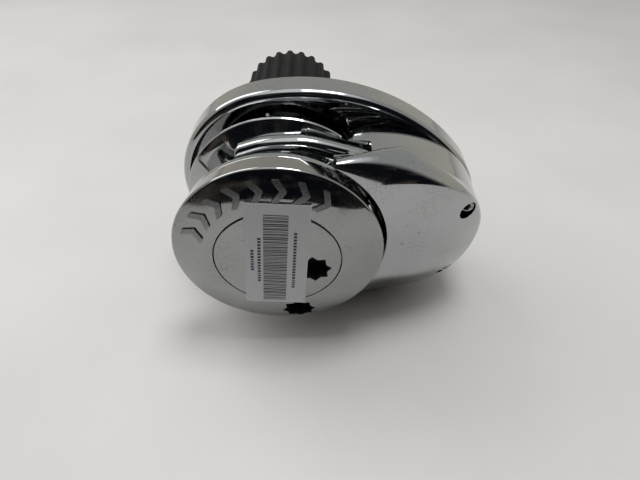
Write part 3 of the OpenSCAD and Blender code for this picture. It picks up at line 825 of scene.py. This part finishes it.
def wheel_casting():
    """The chain wheel: two flanges, the chain groove with its pockets, and the clutch seats."""
    low, bed_low, bed_high = WHEEL_LOW, GROOVE_Z - 5, GROOVE_Z + 5
    corners = [
        (WEB_R, WEB_LOW), (LOW_SEAT_R - CONE_SLOPE * (WEB_LOW - low), WEB_LOW),
        (LOW_SEAT_R - CONE_SLOPE * 3, low + 3), (38, low + 2.4), (38, low - 1, 0.6), (52, low - 1.6, 4),
        (63.5, 35.2, 1.0), (66, 37.9, 0.6), (65.2, 39.2, 0.9), (42, bed_low - 0.5, 5),
        (GROOVE_R, bed_low, 2.2), (GROOVE_R, bed_high, 2.2), (42, bed_high + 0.5, 5), (60.6, 70.2, 3),
        (63.4, 72.4, 1.0), (63.4, WHEEL_TOP, 0.8), (HUB_R, WHEEL_TOP), (HUB_R, HUB_TOP, 0.5),
        (TOP_SEAT_R + CONE_SLOPE * (HUB_TOP - WEB_TOP), HUB_TOP), (TOP_SEAT_R, WEB_TOP), (WEB_R, WEB_TOP),
    ]
    wheel = lathe("wheel_casting", fillet(corners, 12), 240)
    pockets = []
    x, y = POCKET_L / 2, POCKET_W / 2
    bed = fillet([(-x, -y, 7), (x, -y, 7), (x, y, 7), (-x, y, 7)], 15)
    for i in range(POCKETS):
        pocket = prism("pocket", bed, GROOVE_R + 1, 70)
        turn = Matrix.Rotation(math.radians(POCKET_FIRST + 360 / POCKETS * i), 4, "Z")
        tip = Matrix(((0, 0, 1, 0), (1, 0, 0, 0), (0, 1, 0, GROOVE_Z * MM), (0, 0, 0, 1)))
        pocket.data.transform(turn @ tip)
        pockets.append(pocket)
    combine(wheel, pockets)
    soften(wheel, 0.7, 40, 3)
    place_piece(wheel, "wheel", "polished_chrome", ["chain_wheel"])


def cap_face(extra=0.0):
    """Outer face of the cap ring, from the side wall up to the bore, moved outwards by extra."""
    rim = (CAP_RIM_R, CAP_RIM_Z)
    shift = along(CAP_RIM_TURN, CAP_RIM_ARC - CAP_RISE_ARC)
    rise = (rim[0] + shift[0], rim[1] + shift[1])
    face = arc(rim, CAP_RIM_ARC + extra, -4, CAP_RIM_TURN, 22)
    return face + arc(rise, CAP_RISE_ARC + extra, CAP_RIM_TURN, 88.4, 24)[1:]


def ring_casting():
    """The cap ring: a low dome with a lever socket, bored for the nut."""
    face = cap_face()
    top, low = face[-1][1], WHEEL_TOP + 0.1
    edge = [(CAP_BORE_R + 0.5, top - 0.03), (CAP_BORE_R + 0.15, top - 0.2), (CAP_BORE_R, top - 0.6)]
    foot = [(CAP_BORE_R, HUB_TOP), (HUB_R, HUB_TOP), (HUB_R, low), (63.2, low), (63.75, low + 0.15)]
    foot.append((63.95, low + 0.7))
    ring = lathe("ring_casting", face + edge + foot, 288)
    combine(ring, [prism("socket", star(), RING_SOCKET_Z, ABOVE_ALL, place=RING_STAR)])
    soften(ring, 0.3, 50)
    place_piece(ring, "wheel", "polished_chrome", ["cap_ring"], worn_shaded_chrome)
    paint_socket_shade(ring, RING_STAR, RING_SOCKET_Z + 2)


def ring_chevrons():
    """Raised arrows that point the way the clutch tightens, their sides in painted shade."""
    shape = [(-6.6, 4.4, 0.5), (-6.6, 0, 0.6), (0, -5, 0.9), (6.6, 0, 0.6), (6.6, 4.4, 0.5), (0, -0.6, 0.9)]
    arrows = []
    core = CAP_BORE_R - 10
    outer = [(core, 93)] + cap_face(MARK_H) + [(core, 97.8)]
    inner = [(core, 60)] + cap_face(-0.5) + [(core, 96.5)]
    for i in range(MARKS):
        arrow = prism("arrow", fillet(shape, 20), RING_SOCKET_Z, ABOVE_ALL, place=(MARK_R, 0))
        arrow.data.transform(Matrix.Rotation(math.radians(MARK_FIRST + MARK_STEP * i), 4, "Z"))
        tidy(arrow)
        combine(arrow, [lathe("outer", outer, 144)], "INTERSECT")
        combine(arrow, [lathe("inner", inner, 144)])
        arrows.append(soften(arrow, 0.28, 45))
    marks = place_piece(join("ring_chevrons", arrows), "wheel", "polished_chrome", material=cast_face())
    # The marks' steep sides take the near-black socket material: painted shade along their edges.
    marks.data.materials.append(socket_shade_material)
    for face in marks.data.polygons:
        face.material_index = int(face.normal.z < 0.8)


def nut_casting():
    """The clutch nut's disc, slightly domed, with its lever socket."""
    crown, rings = 0.3, 10
    rim = [(NUT_R - 0.5, NUT_BOTTOM), (NUT_R, NUT_BOTTOM + 0.5)]
    rim += arc((NUT_R - 0.6, NUT_TOP - 0.64), 0.6, 0, 80, 6)
    top = [(NUT_R - 0.7, NUT_TOP - 0.02)]
    for i in range(1, rings + 1):
        reach = 1 - i / rings
        top.append((NUT_R * reach, NUT_TOP - 0.02 + crown * (1 - reach**2)))
    nut = lathe("nut_casting", [(0, NUT_BOTTOM)] + rim + top, 288)
    roof_z, low = NUT_TOP - NUT_DISC_T, NUT_BOTTOM - 5
    cavity = lathe("cavity", [(0, low), (NUT_CAVITY_R, low), (NUT_CAVITY_R, roof_z), (0, roof_z)], 96)
    combine(nut, [cavity, prism("socket", star(), NUT_TOP - NUT_SOCKET_DEPTH, ABOVE_ALL, place=NUT_STAR)])
    soften(nut, 0.3, 50)
    place_piece(nut, "nut", "polished_chrome", ["clutch_nut"], worn_shaded_chrome)
    paint_socket_shade(nut, NUT_STAR, NUT_TOP - NUT_SOCKET_DEPTH + 2)


# ---- Pressure arm, its spring, and the stripper ----


def spline(points, count):
    """Points along a smooth curve through the given ones."""
    vectors = [Vector(p) for p in points]
    ends = [2 * vectors[0] - vectors[1]] + vectors + [2 * vectors[-1] - vectors[-2]]
    result = []
    for k in range(len(vectors) - 1):
        p0, p1, p2, p3 = ends[k : k + 4]
        for i in range(count):
            t = i / count
            a = 2 * p1 + (p2 - p0) * t
            b = (2 * p0 - 5 * p1 + 4 * p2 - p3) * t * t
            result.append((a + b + (3 * p1 - p0 - 3 * p2 + p3) * t**3) / 2)
    return result + [vectors[-1]]


def arm_casting():
    """The chromed arm that holds the chain or rope in the wheel, with rounded edges all round."""
    path = spline(ARM_SPINE, 14)
    stations = []
    for end, nxt, sign in ((path[0], path[1], 1), (path[-1], path[-2], -1)):
        ahead = (nxt - end).xy.normalized()
        cap = []
        for i in range(9):
            t = math.pi / 2 * i / 9
            cap.append((end.xy - ahead * end.z * math.cos(t), end.z * max(0.02, math.sin(t)), ahead * sign))
        stations.append(cap)
    body = []
    for i, p in enumerate(path):
        ahead = (path[min(i + 1, len(path) - 1)] - path[max(i - 1, 0)]).xy.normalized()
        body.append((p.xy, p.z, ahead))
    sections = []
    for middle, half, ahead in stations[0] + body + stations[1][::-1]:
        side = Vector((-ahead.y, ahead.x))
        fil, top = min(5.2, 0.95 * half), ARM_Z + ARM_H
        box = [(half, ARM_Z, fil), (half, top, fil), (-half, top, fil), (-half, ARM_Z, fil)]
        sections.append([(*(middle + side * s), z) for s, z in fillet(box, 15)])
    arm = loft("arm_casting", sections)
    hole = [(0, 0), (ARM_BUSH_R, 0), (ARM_BUSH_R, ABOVE_ALL), (0, ABOVE_ALL)]
    combine(arm, [lathe("hole", hole, 64, ARM_PIVOT)])
    soften(arm, 0.4, 60)
    place_piece(arm, "arm", "polished_chrome", ["pressure_arm"], angle=50)


def sweep(name, points, radius, sides=12):
    """Round wire along points in millimetres."""
    path = [Vector(p) for p in points]
    sections = []
    for i, p in enumerate(path):
        ahead = (path[min(i + 1, len(path) - 1)] - path[max(i - 1, 0)]).normalized()
        side = ahead.cross(Vector((0, 0, 1))).normalized()
        up = side.cross(ahead)
        turns = [TURN * k / sides for k in range(sides)]
        sections.append([tuple(p + side * radius * math.cos(t) + up * radius * math.sin(t)) for t in turns])
    return loft(name, sections)


def spring_coil():
    """The arm's torsion spring: a close coil round the pin with one straight leg."""
    x, y = ARM_PIVOT
    low = ARM_Z + ARM_H + 0.4 + SPRING_WIRE_R
    points = [(x - 14 + i, y - SPRING_R, low) for i in range(13)]
    count = 110
    for i in range(count + 1):
        turned = SPRING_TURNS * i / count
        px, py = along(270 + 360 * turned, SPRING_R)
        points.append((x + px, y + py, low + SPRING_RISE * turned))
    place_piece(sweep("spring_coil", points, SPRING_WIRE_R), "base", "spring_steel", ["arm_spring"])


def blade_plate():
    """The chain stripper: a blade in the groove, on two posts."""
    base, top = GROOVE_Z - BLADE_H / 2, GROOVE_Z + BLADE_H / 2
    outline = [along(a, GROOVE_R + 2.5) for a in range(32, -17, -4)]
    outline += fillet([
        (46, -18), (58, -42, 5), (68, -48, 5), (80, -34, 4),
        (79, -24, 4), (60, -8, 6), (54, 10, 8), (44, 28, 2),
    ])
    blade = prism("blade_plate", outline, base, top, 0.8, 3)
    post = fillet([(0, PLATE_TOP), (POST_R, PLATE_TOP, 0.4), (POST_R, top, 1), (0, top)])
    combine(blade, [lathe("post", post, 64, spot) for spot in STRIPPER_POSTS], "UNION")
    shank, head = SCREW_R + 0.2, HEAD_R + 0.2
    well = [(0, 0), (shank, 0), (shank, GROOVE_Z), (head, GROOVE_Z), (head, ABOVE_ALL), (0, ABOVE_ALL)]
    combine(blade, [lathe("well", well, 48, spot) for spot in STRIPPER_POSTS])
    place_piece(blade, "base", "stripper_steel", ["chain_stripper"])


# ---- Stock label ----


def label_point(u, v, lift=0.0):
    """Point on the label, u from its left to its right edge and v from its foot to its top."""
    a, b, c, d = (Vector(p) for p in LABEL_CORNERS)
    flat = (a * (1 - u) + b * u) * (1 - v) + (d * (1 - u) + c * u) * v
    wave = 0.05 * math.sin(9 * u + 2) * math.sin(7 * v)
    return flat.x, flat.y, LABEL_Z + wave + lift


def label_patch(name, left, right, foot, top, low, thick, across=8, up=24):
    """Thin sheet over part of the label."""
    verts, faces = [], []
    for layer in (low, low + thick):
        for j in range(up + 1):
            for i in range(across + 1):
                u, v = left + (right - left) * i / across, foot + (top - foot) * j / up
                verts.append(label_point(u, v, layer))
    row, sheet = across + 1, (across + 1) * (up + 1)
    for j in range(up):
        for i in range(across):
            k = j * row + i
            faces.append((k, k + row, k + row + 1, k + 1))
            faces.append(tuple(sheet + n for n in (k, k + 1, k + row + 1, k + row)))
    rim = list(range(across)) + [j * row + across for j in range(up)]
    rim += [up * row + i for i in range(across, 0, -1)] + [j * row for j in range(up, 0, -1)]
    for i, k in enumerate(rim):
        n = rim[(i + 1) % len(rim)]
        faces.append((k, n, sheet + n, sheet + k))
    return new_object(name, verts, faces)


def stock_label():
    """A plain paper label with a stack of dark bars and three rows of dashes, and no lettering."""
    sheet = label_patch("stock_label", 0, 1, 0, 1, 0, LABEL_T)
    place_piece(sheet, "nut", "polished_chrome", material=paper())
    bars, v, k = [], 0.03, 0
    while v < 0.90:
        thick = 0.005 + 0.008 * (0.5 + 0.5 * math.sin(k * 2.4 + math.sin(k * 1.7)))
        bars.append(label_patch("bar", 0.29, 0.67, v, v + thick, LABEL_T, 0.02, 4, 1))
        v += thick + 0.004 + 0.005 * (0.5 + 0.5 * math.sin(k * 3.1 + 1))
        k += 1
    for left, foot, top in ((0.20, 0.24, 0.70), (0.09, 0.36, 0.56), (0.76, 0.18, 0.74)):
        while foot < top:
            dash = 0.012 + 0.014 * (0.5 + 0.5 * math.sin(foot * 210))
            bars.append(label_patch("dash", left, left + 0.05, foot, foot + dash, LABEL_T, 0.02, 1, 1))
            foot += dash + 0.009
    place_piece(join("label_bars", bars), "nut", "polished_chrome", material=ink())


def build():
    """Makes every piece of the object."""
    plate_casting()
    gasket_sheet()
    tube_extrusion()
    pipe_moulding()
    cover_casting()
    screw_set("cover_screw_set", COVER_SCREWS, SCREW_FOOT, COVER_SEATS, "cover_screws")
    screw_set("blade_screw_set", STRIPPER_POSTS, BLADE_SCREW_FOOT, [GROOVE_Z] * 2, "stripper_screws")
    wheel_casting()
    ring_casting()
    ring_chevrons()
    nut_casting()
    arm_casting()
    spring_coil()
    blade_plate()
    stock_label()


build()

# ---- Camera, floor and light ----

RIGHT = Vector((0.9672, 0.2542, -0.0008))
UP = Vector((-0.1805, 0.6846, -0.7062))
BACK = Vector((-0.179, 0.6832, 0.708))
EYE = Vector((-0.0304, 0.2198, 0.2997))


def make_camera():
    """Camera at the photograph's viewing angle."""
    data = bpy.data.cameras.new("camera")
    data.lens, data.sensor_width = 27, 36
    data.clip_start, data.clip_end = 0.01, 50
    camera = bpy.data.objects.new("camera", data)
    bpy.context.scene.collection.objects.link(camera)
    place = Matrix((RIGHT, UP, BACK)).transposed().to_4x4()
    place.translation = EYE
    camera.matrix_world = place
    bpy.context.scene.camera = camera


def lowest_point():
    """Lowest point of the object above the floor's direction."""
    graph = bpy.context.evaluated_depsgraph_get()
    low = 0.0
    for obj in bpy.context.scene.objects:
        if obj.type == "MESH" and not obj.hide_render:
            mesh = obj.evaluated_get(graph).data
            low = min([low] + [FLOOR_UP.dot(v.co) for v in mesh.vertices])
    return low


def front_way():
    """Level direction from the object towards the viewer."""
    return (BACK - FLOOR_UP * BACK.dot(FLOOR_UP)).normalized()


def make_floor():
    """Pale table that ends in front of the viewer, seen from above only."""
    cuts = 16
    ahead = front_way()
    side = FLOOR_UP.cross(ahead)
    origin = FLOOR_UP * (lowest_point() - 0.0003)
    verts = []
    for j in range(cuts + 1):
        for i in range(cuts + 1):
            u = (2 * i / cuts - 1) * TABLE_REACH
            v = TABLE_FRONT - j / cuts * 2 * TABLE_REACH
            verts.append(origin + side * u + ahead * v)
    row = cuts + 1
    faces = [(k, k + 1, k + row + 1, k + row) for j in range(cuts) for k in range(j * row, j * row + cuts)]
    mesh = bpy.data.meshes.new("table")
    mesh.from_pydata(verts, [], faces)
    if mesh.polygons[0].normal.dot(FLOOR_UP) < 0:
        mesh.flip_normals()
    floor = bpy.data.objects.new("table", mesh)
    bpy.context.scene.collection.objects.link(floor)
    f = Finish("pale_table", (0.74, 0.725, 0.71), 0.0, 0.5)
    patches = f.grade(f.noise(160, 4.0), 0.35, 0.7)
    f.tint(patches, (0.75, 0.735, 0.72), (0.70, 0.685, 0.67))
    f.bump(f.noise(14, 4.0), 0.03)
    clear = f.add("ShaderNodeBsdfTransparent")
    mix = f.add("ShaderNodeMixShader")
    f.link(f.add("ShaderNodeNewGeometry").outputs["Backfacing"], mix.inputs[0])
    f.link(f.shader.outputs[0], mix.inputs[1])
    f.link(clear.outputs[0], mix.inputs[2])
    f.link(mix.outputs[0], f.tree.nodes["Material Output"].inputs["Surface"])
    mesh.materials.append(f.material)


def make_world():
    """Pale room that is dark towards the viewer, for the chrome to reflect."""
    world = bpy.data.worlds.new("room")
    bpy.context.scene.world = world
    world.use_nodes = True
    tree = world.node_tree
    new, link = tree.nodes.new, tree.links.new
    direction = new("ShaderNodeTexCoord").outputs["Generated"]
    front = front_way()

    def part(axis):
        node = new("ShaderNodeVectorMath")
        node.operation = "DOT_PRODUCT"
        node.inputs[1].default_value = axis
        link(direction, node.inputs[0])
        return node.outputs["Value"]

    def graded(value, low, high, to_low, to_high):
        node = new("ShaderNodeMapRange")
        node.interpolation_type = "SMOOTHSTEP"
        for socket, number in zip(node.inputs[1:5], (low, high, to_low, to_high)):
            socket.default_value = number
        link(value, node.inputs[0])
        return node.outputs[0]

    def product(a, b):
        node = new("ShaderNodeMath")
        node.operation = "MULTIPLY"
        link(a, node.inputs[0])
        link(b, node.inputs[1])
        return node.outputs[0]

    def mixed(amount, first, second):
        node = new("ShaderNodeMix")
        node.data_type = "RGBA"
        link(amount, node.inputs[0])
        for socket, colour in ((node.inputs[6], first), (node.inputs[7], second)):
            if isinstance(colour, tuple):
                socket.default_value = (*colour, 1)
            else:
                link(colour, socket)
        return node.outputs[2]

    noise = new("ShaderNodeTexNoise")
    noise.inputs["Scale"].default_value = 3.2
    noise.inputs["Detail"].default_value = 3
    link(direction, noise.inputs["Vector"])
    clutter = mixed(graded(noise.outputs[0], 0.5, 0.72, 0, 1), CLUTTER_DARK, CLUTTER_LIGHT)
    upward = part(FLOOR_UP)
    walls = mixed(graded(upward, 0.15, 0.75, 0, 1), WALL_LOW, WALL_HIGH)
    room = mixed(graded(upward, 0.80, 0.95, 0, 1), walls, CEILING)
    towards = graded(part(front), 0.10, 0.42, 0, 1)
    below_top = graded(upward, 0.92, 0.80, 0, 1)
    colour = mixed(product(towards, below_top), room, clutter)
    background = tree.nodes["Background"]
    link(colour, background.inputs["Color"])
    background.inputs["Strength"].default_value = 1.0


def make_light(name, offset, size, power):
    """Soft lamp at an offset (right, above the table, towards the viewer) from the object's middle."""
    front = front_way()
    side = FLOOR_UP.cross(front).normalized()
    data = bpy.data.lights.new(name, "AREA")
    data.shape, data.size, data.size_y = "RECTANGLE", *size
    data.energy = power
    lamp = bpy.data.objects.new(name, data)
    bpy.context.scene.collection.objects.link(lamp)
    spot = MIDDLE + side * offset[0] + FLOOR_UP * offset[1] + front * offset[2]
    aim = (spot - MIDDLE).to_track_quat("Z", "Y")
    lamp.matrix_world = Matrix.Translation(spot) @ aim.to_matrix().to_4x4()


make_camera()
make_floor()
make_world()
make_light("ceiling_panel", (0.15, 1.1, 0.0), (0.38, 0.34), 5)
make_light("fill", (-0.9, 1.0, -0.7), (1.0, 0.8), 6.5)
bpy.context.scene.view_settings.view_transform = "Standard"
